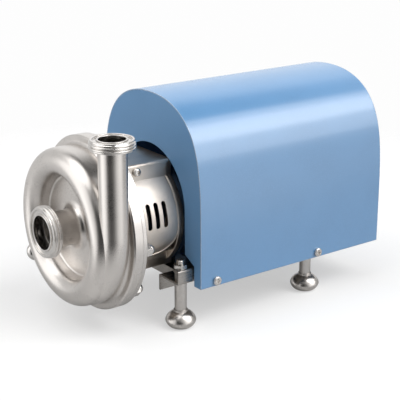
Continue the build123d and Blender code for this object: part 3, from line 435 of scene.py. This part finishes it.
@dataclass(frozen=True)
class Layered(Finish):
    """Metal made of layers along the shaft line: stacked core sheets or wound wire.

    Attributes:
        layer: The thickness of a layer.
        depth: The depth of the joints between layers.
        waver: How far the layers waver.
        joint_tone: The joints' tone, as a share of the colour.
        joint_rough: How much rougher the joints are.
    """

    layer: float = 0.0005
    depth: float = 6e-5
    waver: float = 0.6
    joint_tone: float = 0.6
    joint_rough: float = 0.1

    def shade(self, board: Board) -> dict[str, object]:
        """Bands along the shaft line in both tone and height.

        Args:
            board: The material's nodes.

        Returns:
            A value or a socket for each input of the surface shader that is set.
        """
        inputs = {"Vector": board.place(), "Scale": WAVE_LENGTH / self.layer, "Distortion": self.waver}
        bands = board.add("ShaderNodeTexWave", inputs, wave_type="BANDS", bands_direction="X").outputs["Fac"]
        return {
            "Base Color": board.mix(bands, toned(self.colour, self.joint_tone), self.colour),
            "Metallic": 1.0,
            "Roughness": board.span(bands, (0.0, 1.0), self.roughness + self.joint_rough, self.roughness),
            "Normal": board.bump(bands, self.depth),
        }


CASING = Steel("casing_satin", (0.655, 0.624, 0.595), 0.29, Grain.CAST, pitch=0.0009, depth=6e-7,
               swing=0.02, cloud_tone=0.02, edge=0.0012)
UNION = Steel("union_polish", (0.68, 0.655, 0.63), 0.17, Grain.CAST, pitch=0.0006, depth=1.5e-7,
              swing=0.015, edge=0.0003)
BOLTS = Steel("bolt_polish", (0.62, 0.595, 0.57), 0.24, Grain.CAST, pitch=0.0007, depth=4e-7, edge=0.0005)
DRAIN = Steel("drain_polish", (0.64, 0.62, 0.6), 0.22, Grain.CAST, depth=1e-6, edge=0.0008)
PLATE = Steel("plate_turned", (0.62, 0.595, 0.57), 0.3, Grain.TURNED, depth=1e-6, edge=0.0008)
LANTERN = Steel("lantern_blasted", (0.6, 0.535, 0.475), 0.36, Grain.CAST, pitch=0.0009, depth=2e-6,
                edge=0.003)
GUARD = Steel("guard_satin", (0.665, 0.603, 0.54), 0.4, Grain.CAST, pitch=0.0007, depth=1e-6, swing=0.03)
BASE = Steel("base_brushed", (0.4, 0.375, 0.35), 0.3, Grain.DRAWN, pitch=0.0006, depth=3e-6, edge=0.0007)
FEET = Steel("foot_satin", (0.58, 0.552, 0.525), 0.27, Grain.CAST, pitch=0.0006, depth=3e-7,
             swing=0.015, cloud_tone=0.02)
WHEEL = Steel("wheel_satin", (0.6, 0.59, 0.575), 0.3, Grain.CAST, depth=6e-6)
SHAFT = Steel("shaft_ground", (0.62, 0.61, 0.6), 0.2, Grain.TURNED, pitch=0.0004, depth=1e-6)
CLAMP = Steel("clamp_oiled", (0.3, 0.295, 0.29), 0.32, Grain.TURNED, pitch=0.0006, depth=3e-6)
BEARING = Steel("bearing_ground", (0.66, 0.66, 0.66), 0.14, Grain.TURNED, pitch=0.0004, depth=6e-7)
CARBON = Moulded("seal_carbon", (0.04, 0.04, 0.043), 0.35, depth=4e-6)
CERAMIC = Moulded("seal_ceramic", (0.8, 0.77, 0.7), 0.2, depth=2e-6, cloud_tone=0.03)
RUBBER = Moulded("gasket_rubber", (0.03, 0.03, 0.03), 0.6)
PLASTIC = Moulded("terminal_plastic", (0.07, 0.075, 0.08), 0.45)
FAN = Moulded("fan_plastic", (0.04, 0.042, 0.045), 0.5)
CORE = Layered("core_sheets", (0.28, 0.28, 0.29), 0.4)
COPPER = Layered("winding_copper", (0.6, 0.27, 0.12), 0.35, layer=0.0011, depth=3e-4)
MOTOR_PAINT = PowderCoat("motor_paint", (0.06, 0.1, 0.17), 0.42, edge=0.0009)
# The hood's rim paints a pale highlight along its edges
COVER_PAINT = PowderCoat("cover_powder", (0.15, 0.345, 0.625), 0.21, gloss=1.0, index=1.62, edge=0.002,
                         rim=0.75)
PLATE_PAINT = PowderCoat("cover_plate_powder", (0.16, 0.345, 0.605), 0.4, gloss=0.35)


@dataclass
class SubAssembly:
    """Solids of the pump that are dressed together."""

    finishes: dict[str, Finish] = field(default_factory=dict)

    def dress(self) -> None:
        """Gives every solid of the sub-assembly its finish."""
        for node, finish in self.finishes.items():
            paint(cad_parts[node], finish)
            log.info("%s wears %s", node, finish.name)

    def build(self) -> list[bpy.types.Object]:
        """Builds the sub-assembly's own fine pieces, if it has any."""
        return []


def paint(piece: bpy.types.Object, finish: Finish) -> None:
    """Puts a finish in every material slot of a piece.

    Args:
        piece: A solid of the frame or a new piece.
        finish: Its finish.
    """
    if not piece.material_slots:
        piece.data.materials.append(finish.material())
    for slot in piece.material_slots:
        slot.material = finish.material()


def piece_from(name: str, mesh: bmesh.types.BMesh, smooth: bool = True) -> bpy.types.Object:
    """Turns a built mesh into an object of the scene.

    Args:
        name: The piece's name.
        mesh: Its mesh, which is freed.
        smooth: Whether its faces are shaded smooth.

    Returns:
        The object.
    """
    bmesh.ops.recalc_face_normals(mesh, faces=mesh.faces)
    data = bpy.data.meshes.new(name)
    mesh.to_mesh(data)
    mesh.free()
    if smooth:
        data.shade_smooth()
    made = bpy.data.objects.new(name, data)
    bpy.context.scene.collection.objects.link(made)
    return made


def settle(piece: bpy.types.Object, body: str, finish: Finish,
           stands_for: Iterable[str] = ()) -> bpy.types.Object:
    """Dresses a new piece and joins it to the frame.

    Args:
        piece: The piece, in place.
        body: The body that carries it.
        finish: Its finish.
        stands_for: The solids that it replaces.

    Returns:
        The piece.
    """
    paint(piece, finish)
    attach(piece, body)
    if stands_for:
        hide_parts(*stands_for)
    return piece


def eased(line: Line, radius: float, steps: int = 3, share: float = 2.2) -> Line:
    """Rounds the corners of a line of points.

    Args:
        line: Points as (across, along) pairs.
        radius: The distance from a corner at which its rounding starts, at most.
        steps: The pieces in each rounding.
        share: How many times the rounding's start goes into each side of the corner, at least.

    Returns:
        The rounded line.
    """
    made: Line = [line[0]]
    for before, corner, after in zip(line, line[1:], line[2:]):
        a, b, c = Vector(before), Vector(corner), Vector(after)
        reach = min(radius, (a - b).length / share, (c - b).length / share)
        start, end = b + (a - b).normalized() * reach, b + (c - b).normalized() * reach
        for i in range(steps + 1):
            t = i / steps
            made.append(tuple(start * (1 - t) ** 2 + b * 2 * t * (1 - t) + end * t * t))
    made.append(line[-1])
    return made


@dataclass
class RoundThreadUnion:
    """Male union end with a real round thread, a gasket groove and a rounded mouth.

    Attributes:
        node: The plain solid that it stands for.
        mouth: Places a point by its radius, its depth below the mouth and its turn about the axis.
        bore: The radius of the bore.
        thread: The radius over the thread.
        length: The union's length.
        pitch: The distance between two turns of the thread.
        thread_turns: How many turns it has.
        thread_depth: How far it stands proud.
        crest_power: How full its round crests are.
        lip: The width of the lip round the bore.
        groove: The depth of the gasket groove.
        rim: The width of the rim outside the groove.
        chamfer: Half of the plain band above the thread, and all of the one below it.
        neck: The height of the narrow neck under the thread.
        wall: The neck's wall.
        head_round: The rounding of the corners at the mouth.
        tail_round: The rounding of the corners at the neck.
        turns: The steps of the mesh about the axis.
        thread_steps: The steps of the mesh along the thread.
    """

    node: str
    mouth: Placing
    bore: float
    thread: float
    length: float = 0.017
    pitch: float = 0.0042
    thread_turns: int = 3
    thread_depth: float = 0.0019
    crest_power: float = 1.8
    lip: float = 0.0026
    groove: float = 0.0022
    rim: float = 0.0034
    chamfer: float = 0.0008
    neck: float = 0.0024
    wall: float = 0.0015
    head_round: float = 0.0007
    tail_round: float = 0.0006
    turns: int = 192
    thread_steps: int = 72

    @property
    def thread_start(self) -> float:
        """The depth below the mouth at which the thread starts."""
        return 2 * self.chamfer

    def ridge(self, depth: float, turn: float) -> float:
        """How far the thread stands proud.

        Args:
            depth: The depth below the mouth.
            turn: The turn about the axis.

        Returns:
            The height over the thread's root.
        """
        first, last = self.thread_start, self.thread_start + self.thread_turns * self.pitch
        phase = (depth - first) / self.pitch - turn / math.tau
        wave = 1.0 - (0.5 + 0.5 * math.cos(math.tau * phase)) ** self.crest_power
        lead_in = min(1.0, max(0.0, (depth - first) / (0.5 * self.pitch)))
        run_out = min(1.0, max(0.0, (last - depth) / (0.5 * self.pitch)))
        return self.thread_depth * wave * lead_in * run_out

    def section(self, turn: float) -> Line:
        """The wall's outline at one turn about the axis.

        Args:
            turn: The turn.

        Returns:
            Points as (radius, depth below the mouth), from the bore round to the neck.
        """
        root = self.thread - self.thread_depth
        lip_out, groove_out = self.bore + self.lip, root - self.rim
        head = [(self.bore, self.length), (self.bore, 0.0), (lip_out, 0.0), (lip_out, self.groove),
                (groove_out, self.groove), (groove_out, 0.0), (root, 0.0), (root, self.thread_start)]
        line = eased(head, self.head_round)
        low, under = self.thread_start, self.length - self.neck
        high = under - self.chamfer
        for i in range(1, self.thread_steps):
            depth = low + (high - low) * i / self.thread_steps
            line.append((root + self.ridge(depth, turn), depth))
        neck_out = self.bore + self.wall
        tail = [(root, high), (root, under), (neck_out, under), (neck_out, self.length)]
        return line + eased(tail, self.tail_round)

    def build(self, body: str, slot: str, finish: Finish) -> bpy.types.Object:
        """Builds the union in place of its plain solid.

        Args:
            body: The body that carries it.
            slot: Not used.
            finish: Its finish.

        Returns:
            The union.
        """
        mesh = bmesh.new()
        rows = []
        for i in range(self.turns):
            turn = math.tau * i / self.turns
            rows.append([mesh.verts.new(self.mouth(r, depth, turn)) for r, depth in self.section(turn)])
        count = len(rows[0])
        for i in range(self.turns):
            here, there = rows[i], rows[(i + 1) % self.turns]
            for j in range(count):
                k = (j + 1) % count
                mesh.faces.new((here[j], here[k], there[k], there[j]))
        made = piece_from(f"{self.node}_threaded", mesh)
        return settle(made, body, finish, [self.node])


def suction_place(radius: float, depth: float, turn: float) -> Point:
    """A point of the suction union, whose mouth faces -X."""
    return (depth, radius * math.cos(turn), radius * math.sin(turn))


def upright_place(node: str) -> Placing:
    """Finds where an upright union stands.

    Args:
        node: The union's solid.

    Returns:
        A function that places a point of the union, whose mouth faces up.
    """
    low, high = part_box(node)
    x, y, top = (low.x + high.x) / 2, (low.y + high.y) / 2, high.z

    def place(radius: float, depth: float, turn: float) -> Point:
        """A point of the union."""
        return (x + radius * math.cos(turn), y + radius * math.sin(turn), top - depth)

    return place


@dataclass
class GuardHem:
    """Rounded hem along a guard's rear edge and its lower rear corner.

    Attributes:
        node: The guard's solid.
        side: -1 on the near side and 1 on the far side.
        wall_r: The radius of the guard's rolled wall.
        corner_r: The radius of its lower rear corner.
        low_angle: The angle over the shaft line of the hem's lower edge, in degrees.
        high_angle: The same of its top end.
        bead_r: The radius of the bead.
        ring: The steps of the mesh round the bead.
        steps: Its steps along the rear edge, and again along the corner.
    """

    node: str
    side: float
    wall_r: float = 0.0838
    corner_r: float = 0.04
    low_angle: float = -31.0
    high_angle: float = 52.0
    bead_r: float = 0.0010
    ring: int = 10
    steps: int = 40

    def path(self) -> Line:
        """The hem's line on the rolled wall.

        Returns:
            Points as (x, angle in radians), from the top down to the lower edge.
        """
        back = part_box(self.node)[1].x - self.bead_r
        low, high = math.radians(self.low_angle), math.radians(self.high_angle)
        corner = low + self.corner_r / self.wall_r
        line = [(back, high + (corner - high) * i / self.steps) for i in range(self.steps)]
        for i in range(self.steps + 1):
            turn = math.pi / 2 * i / self.steps
            angle = corner - self.corner_r * math.sin(turn) / self.wall_r
            line.append((back - self.corner_r * (1 - math.cos(turn)), angle))
        return line

    def place(self, x: float, angle: float, rise: float) -> Vector:
        """A point at a height over the rolled wall."""
        reach = self.wall_r + rise
        return Vector((x, self.side * reach * math.cos(angle), reach * math.sin(angle)))

    def build(self) -> bpy.types.Object:
        """Sweeps a round section along the edge.

        Returns:
            The hem.
        """
        line = self.path()
        mesh = bmesh.new()
        rings = []
        turns = [math.tau * j / self.ring for j in range(self.ring)]
        for i, (x, angle) in enumerate(line):
            here = self.place(x, angle, 0.0)
            ahead = self.place(*line[min(i + 1, len(line) - 1)], 0.0) - self.place(*line[max(i - 1, 0)], 0.0)
            out = (self.place(x, angle, 1.0) - here).normalized()
            across = ahead.normalized().cross(out)
            ring = [here + self.bead_r * (out * math.cos(turn) + across * math.sin(turn)) for turn in turns]
            rings.append([mesh.verts.new(point) for point in ring])
        for low, high in zip(rings, rings[1:]):
            for j in range(self.ring):
                k = (j + 1) % self.ring
                mesh.faces.new((low[j], low[k], high[k], high[j]))
        mesh.faces.new(rings[0])
        mesh.faces.new(rings[-1][::-1])
        return settle(piece_from(f"{self.node}_hem", mesh), "pump", GUARD)


@dataclass
class PumpHead(SubAssembly):
    """Casing with its unions, bolts, drain, back plate, seal and wheel.

    Attributes:
        suction_bore: The radius of the suction union's bore.
        suction_thread: The radius over its thread.
        discharge_bore: The radius of the discharge union's bore.
        discharge_thread: The radius over its thread.
    """

    suction_bore: float = 0.025
    suction_thread: float = 0.0385
    discharge_bore: float = 0.019
    discharge_thread: float = 0.0325

    def __post_init__(self) -> None:
        """Names each solid's finish."""
        self.finishes = {
            "volute_casing": CASING, "drain_plug": DRAIN, "casing_gasket": RUBBER,
            "back_plate": PLATE, "casing_studs": BOLTS, "casing_nuts": BOLTS,
            "seal_stationary_ring": CERAMIC, "seal_rotary_ring": CARBON, "seal_spring": SHAFT,
            "impeller": WHEEL, "impeller_nut": WHEEL, "suction_union": UNION, "discharge_union": UNION,
        }

    def build(self) -> list[bpy.types.Object]:
        """Builds the two threaded unions.

        Returns:
            The unions.
        """
        upright = upright_place("discharge_union")
        ends = [RoundThreadUnion("suction_union", suction_place, self.suction_bore, self.suction_thread),
                RoundThreadUnion("discharge_union", upright, self.discharge_bore, self.discharge_thread)]
        return [end.build("pump", "union_steel", UNION) for end in ends]


@dataclass
class Adaptor(SubAssembly):
    """Lantern, guards and the shaft inside them."""

    def __post_init__(self) -> None:
        """Names each solid's finish."""
        self.finishes = {
            "lantern": LANTERN, "guard_near": GUARD, "guard_far": GUARD, "guard_screws": BOLTS,
            "back_plate_screws": BOLTS, "lantern_bolts": BOLTS, "pump_shaft": SHAFT,
            "shaft_clamp_ring": CLAMP, "clamp_screw": CLAMP,
        }

    def build(self) -> list[bpy.types.Object]:
        """Builds the hems of the two guards."""
        return [GuardHem("guard_near", -1.0).build(), GuardHem("guard_far", 1.0).build()]


@dataclass
class Motor(SubAssembly):
    """The motor inside the cover."""

    def __post_init__(self) -> None:
        """Names each solid's finish."""
        painted = ("motor_front_shield", "motor_rear_shield", "motor_frame", "fan_cowl")
        self.finishes = {node: MOTOR_PAINT for node in painted}
        self.finishes.update({node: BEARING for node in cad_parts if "_bearing_" in node})
        self.finishes.update({
            "stator_core": CORE, "rotor_core": CORE, "stator_windings": COPPER, "motor_shaft": SHAFT,
            "cooling_fan": FAN, "terminal_box": PLASTIC, "terminal_lid": PLASTIC, "cable_gland": PLASTIC,
        })


@dataclass
class Base(SubAssembly):
    """Rails, cross plates and height-adjustable feet."""

    def __post_init__(self) -> None:
        """Names each solid's finish."""
        self.finishes = {node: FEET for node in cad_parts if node.startswith(("leg_", "ball_foot_"))}
        plain = ("rail_near", "rail_far", "cross_plate_front", "cross_plate_rear", "leg_bushes",
                 "motor_shims", "cover_brackets")
        self.finishes.update({node: BASE for node in plain})
        self.finishes.update({"lock_nuts": BOLTS, "motor_foot_bolts": BOLTS})


@dataclass
class Cover(SubAssembly):
    """The painted hood with its end plates and screws."""

    def __post_init__(self) -> None:
        """Names each solid's finish."""
        self.finishes = {"cover_hood": COVER_PAINT, "cover_front_plate": PLATE_PAINT,
                         "cover_rear_plate": PLATE_PAINT, "cover_screws": BOLTS}


@dataclass(frozen=True)
class Lamp:
    """One soft distant lamp.

    Attributes:
        name: Its name.
        comes_from: The direction that it shines from.
        strength: Its light, in watts a square metre.
        width: The angle that it fills as seen from the pump, in degrees.
    """

    name: str
    comes_from: Point
    strength: float
    width: float

    def build(self) -> None:
        """Hangs the lamp."""
        data = bpy.data.lights.new(self.name, "SUN")
        data.energy = self.strength
        data.angle = math.radians(self.width)
        lamp = bpy.data.objects.new(self.name, data)
        lamp.rotation_mode = "QUATERNION"
        lamp.rotation_quaternion = Vector(self.comes_from).to_track_quat("Z", "Y")
        bpy.context.scene.collection.objects.link(lamp)


@dataclass(frozen=True)
class DimSide:
    """A side of the room that metal reflects darker than the rest.

    Attributes:
        towards: The direction of its middle.
        start: The cosine to that direction at which it starts.
        full: The cosine from which it is as dim as it gets.
        kept: The share of the white that is left there.
    """

    towards: Point
    start: float
    full: float
    kept: float

    def light(self, direction: Socket, board: Board) -> Socket:
        """The share of the room's white that is left in a direction."""
        nearness = board.measure("DOT_PRODUCT", direction, self.towards)
        return board.span(nearness, (self.start, self.full), 1.0, self.kept)


@dataclass
class Studio:
    """White table in a white room, under soft lamps.

    Attributes:
        floor_z: The height of the table, on which the pump stands.
        floor_centre: The table's middle.
        floor_radius: Its radius.
        floor_sides: The straight sides of its rim.
        floor_fade: The distance from its middle at which it starts to fade into the room.
        floor_clear: The share of its radius at which it is gone.
        floor_tone: Its tone under the lamps.
        floor_lift: The white that is added for the camera.
        floor_mirrored: The white that is added for mirrors.
        room: The room's light on the pump.
        white: The room's tone for the camera, and the lightest that metal reflects.
        dark: The darkest that metal reflects.
        dim_sides: The sides that metal reflects darker: in front on the near side, on the far side,
            behind on the near side, and overhead.
        lamps: Three lamps on the near side, a low and a far fill, one lamp in front of the pump and
            one overhead.
    """

    floor_z: float = cad_box[0].z
    floor_centre: Pair = (0.42, 0.22)
    floor_radius: float = 0.95
    floor_sides: int = 96
    floor_fade: float = 0.55
    floor_clear: float = 0.97
    floor_tone: float = 0.5
    floor_lift: float = 0.5
    floor_mirrored: float = 0.12
    room: float = 0.13
    white: float = 0.985
    dark: float = 0.01
    dim_sides: tuple[DimSide, ...] = (
        DimSide((-0.83, -0.56, 0.0), 0.42, 0.96, 0.0),
        DimSide((-0.37, 0.93, 0.0), 0.55, 0.95, 0.72),
        DimSide((0.94, -0.34, 0.0), 0.72, 0.98, 0.45),
        DimSide((0.0, 0.0, 1.0), 0.6, 0.85, 0.0),
    )
    lamps: tuple[Lamp, ...] = (
        Lamp("key_lamp", (0.56, -0.46, 0.69), 0.5, 36.0),
        Lamp("side_lamp", (0.56, -0.66, 0.5), 0.65, 46.0),
        Lamp("front_lamp", (0.2, -0.5, 0.84), 1.05, 30.0),
        Lamp("low_fill", (0.5, -0.84, 0.2), 0.32, 60.0),
        Lamp("back_fill", (0.5, 0.7, 0.5), 0.08, 50.0),
        Lamp("left_lamp", (-0.93, 0.3, 0.14), 0.95, 72.0),
        Lamp("top_lamp", (-0.34, 0.16, 0.93), 1.35, 54.0),
    )

    def build(self) -> None:
        """Makes the floor, the room and the lamps."""
        self.build_floor()
        self.build_room()
        for lamp in self.lamps:
            lamp.build()

    def build_floor(self) -> None:
        """Makes a round white table that fades into the room at its rim."""
        mesh = bmesh.new()
        bmesh.ops.create_circle(mesh, cap_ends=True, segments=self.floor_sides, radius=self.floor_radius)
        floor = piece_from("studio_floor", mesh, smooth=False)
        floor.location = (*self.floor_centre, self.floor_z)
        made = bpy.data.materials.new("studio_white")
        made.use_nodes = True
        board = Board(made.node_tree)
        matt = board.add("ShaderNodeBsdfDiffuse", {"Color": opaque((self.floor_tone,) * 3)}).outputs[0]
        rays = board.rays()
        mirrored = board.maths("MULTIPLY", board.mirrored(rays), self.floor_mirrored)
        lift = board.maths("MULTIPLY_ADD", rays["Is Camera Ray"], self.floor_lift, mirrored)
        glow = board.add("ShaderNodeEmission", {"Strength": lift}).outputs[0]
        lit = board.add("ShaderNodeAddShader", {0: matt, 1: glow}).outputs[0]
        rim = (self.floor_fade, self.floor_radius * self.floor_clear)
        share = board.span(board.measure("LENGTH", board.place()), rim, 0.0, 1.0)
        clear = board.add("ShaderNodeBsdfTransparent").outputs[0]
        surface = board.add("ShaderNodeMixShader", {0: share, 1: lit, 2: clear}).outputs[0]
        board.add("ShaderNodeOutputMaterial", {"Surface": surface})
        floor.data.materials.append(made)

    def build_room(self) -> None:
        """Makes a white room whose ceiling and some of whose sides are dim, as metal reflects it."""
        world = bpy.data.worlds.new("studio_room")
        world.use_nodes = True
        bpy.context.scene.world = world
        board = Board(world.node_tree)
        direction = board.add("ShaderNodeTexCoord").outputs["Generated"]
        walls = self.dim_sides[0].light(direction, board)
        for side in self.dim_sides[1:]:
            walls = board.maths("MULTIPLY", walls, side.light(direction, board))
        shown = board.maths("MULTIPLY_ADD", walls, self.white - self.dark, self.dark)
        rays = board.rays()
        lit = board.between(board.mirrored(rays), self.room, shown)
        power = board.between(rays["Is Camera Ray"], lit, self.white)
        white = {"Color": opaque((1.0, 1.0, 1.0)), "Strength": power}
        back = board.add("ShaderNodeBackground", white).outputs[0]
        board.add("ShaderNodeOutputWorld", {"Surface": back})


@dataclass
class ViewPoint:
    """The camera, where the photographer's stood.

    Attributes:
        target: The point that it looks at.
        distance: Its distance from that point.
        azimuth: Its turn from the near side towards the motor's end, in degrees.
        elevation: Its rise over the level, in degrees.
        lens: The focal length, in millimetres.
        sensor: The sensor's width, in millimetres.
        nearest: The nearest distance that it sees.
        furthest: The furthest.
    """

    target: Point = (0.2811, 0.00004, -0.0049)
    distance: float = 1.70807
    azimuth: float = -36.3225
    elevation: float = 18.0955
    lens: float = 97.595
    sensor: float = 36.0
    nearest: float = 0.05
    furthest: float = 60.0

    def build(self) -> None:
        """Makes the camera and gives it to the scene."""
        turn, rise = math.radians(self.azimuth), math.radians(self.elevation)
        back = Vector((math.sin(turn) * math.cos(rise), -math.cos(turn) * math.cos(rise), math.sin(rise)))
        data = bpy.data.cameras.new("studio_camera")
        data.lens = self.lens
        data.sensor_width = self.sensor
        data.clip_start = self.nearest
        data.clip_end = self.furthest
        camera = bpy.data.objects.new("studio_camera", data)
        camera.location = Vector(self.target) + back * self.distance
        camera.rotation_mode = "QUATERNION"
        camera.rotation_quaternion = (-back).to_track_quat("-Z", "Y")
        bpy.context.scene.collection.objects.link(camera)
        bpy.context.scene.camera = camera


def main() -> None:
    """Builds and dresses each sub-assembly, then sets the stage."""
    logging.basicConfig(level=logging.INFO, format="%(message)s", stream=sys.stdout)
    for part in (PumpHead(), Adaptor(), Motor(), Base(), Cover()):
        for piece in part.build():
            log.info("%s is built", piece.name)
        part.dress()
    Studio().build()
    ViewPoint().build()
    bpy.context.scene.view_settings.view_transform = "Standard"


if __name__ == "__main__":
    main()
